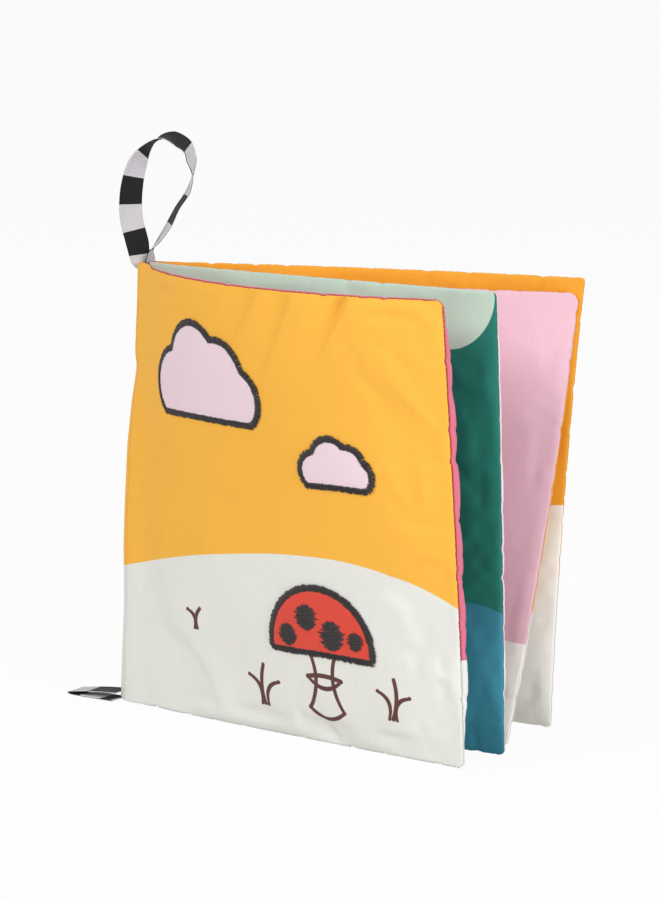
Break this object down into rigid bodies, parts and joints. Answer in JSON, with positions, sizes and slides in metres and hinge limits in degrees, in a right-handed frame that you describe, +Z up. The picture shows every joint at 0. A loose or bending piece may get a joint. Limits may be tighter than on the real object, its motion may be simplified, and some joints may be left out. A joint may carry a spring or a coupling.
{
  "type": "cloth play book",
  "caption": "Soft padded cloth book for a baby, standing half open on its lower edges, with stitched leaves, sewn-on patches and a striped ribbon loop at each end of the spine.",
  "frame": {"origin": "centre of the flat foot of the spine, on the surface that the book stands on", "axes": "+Z up along the spine, +X from the spine towards the fore-edges, the front cover faces -Y"},
  "size_m": [0.2109, 0.1033, 0.2361],
  "materials": {
    "cloth_orange": "satin",
    "cloth_hot_pink": "satin",
    "cloth_teal": "satin",
    "cloth_pale_pink": "satin",
    "wadding": "matte",
    "patch_pink": "matte",
    "patch_felt": "matte",
    "thread": "satin",
    "ribbon": "matte"
  },
  "bodies": {
    "spine": {"spine_fold": "cloth_orange"},
    "front_cover": {"front_cover_outer_panel": "cloth_orange", "front_cover_inner_panel": "cloth_hot_pink", "front_cover_wadding": "wadding", "large_cloud_patch": "patch_pink", "small_cloud_patch": "patch_pink", "toadstool_cap_patch": "patch_felt", "large_cloud_stitching": "thread", "small_cloud_stitching": "thread", "toadstool_cap_stitching": "thread"},
    "first_leaf": {"first_leaf_front_panel": "cloth_teal", "first_leaf_back_panel": "cloth_pale_pink", "first_leaf_wadding": "wadding"},
    "second_leaf": {"second_leaf_front_panel": "cloth_pale_pink", "second_leaf_back_panel": "cloth_orange", "second_leaf_wadding": "wadding"},
    "back_cover": {"back_cover_inner_panel": "cloth_orange", "back_cover_outer_panel": "cloth_orange", "back_cover_wadding": "wadding"},
    "top_loop": {"top_ribbon_loop": "ribbon"},
    "bottom_loop": {"bottom_ribbon_loop": "ribbon"}
  },
  "joints": [
    {"name": "first_leaf_hinge", "type": "hinge", "parent": "spine", "child": "first_leaf", "pos_m": [0.00255, -0.0012, 0], "axis": [0.0488, 0.0283, 0.9984], "range_deg": [-85, 0]},
    {"name": "front_cover_hinge", "type": "hinge", "parent": "first_leaf", "child": "front_cover", "pos_m": [0.00385, -0.0036, 0], "axis": [-0.0488, -0.0283, -0.9984], "range_deg": [0, 130]},
    {"name": "second_leaf_hinge", "type": "hinge", "parent": "spine", "child": "second_leaf", "pos_m": [0.00255, 0.0012, 0], "axis": [-0.0488, -0.0283, -0.9984], "range_deg": [-85, 0]},
    {"name": "back_cover_hinge", "type": "hinge", "parent": "second_leaf", "child": "back_cover", "pos_m": [0.00385, 0.0036, 0], "axis": [0.0488, 0.0283, 0.9984], "range_deg": [0, 115]},
    {"name": "top_loop_hinge", "type": "hinge", "parent": "spine", "child": "top_loop", "pos_m": [0.0088, 0.0051, 0.1837], "axis": [0.848, 0.5299, 0], "range_deg": [-45, 60], "stiffness_Nm_per_rad": 0.004},
    {"name": "bottom_loop_hinge", "type": "hinge", "parent": "spine", "child": "bottom_loop", "pos_m": [-0.0016, 0, 0.00315], "axis": [0, 1, 0], "range_deg": [0, 80]}
  ]
}
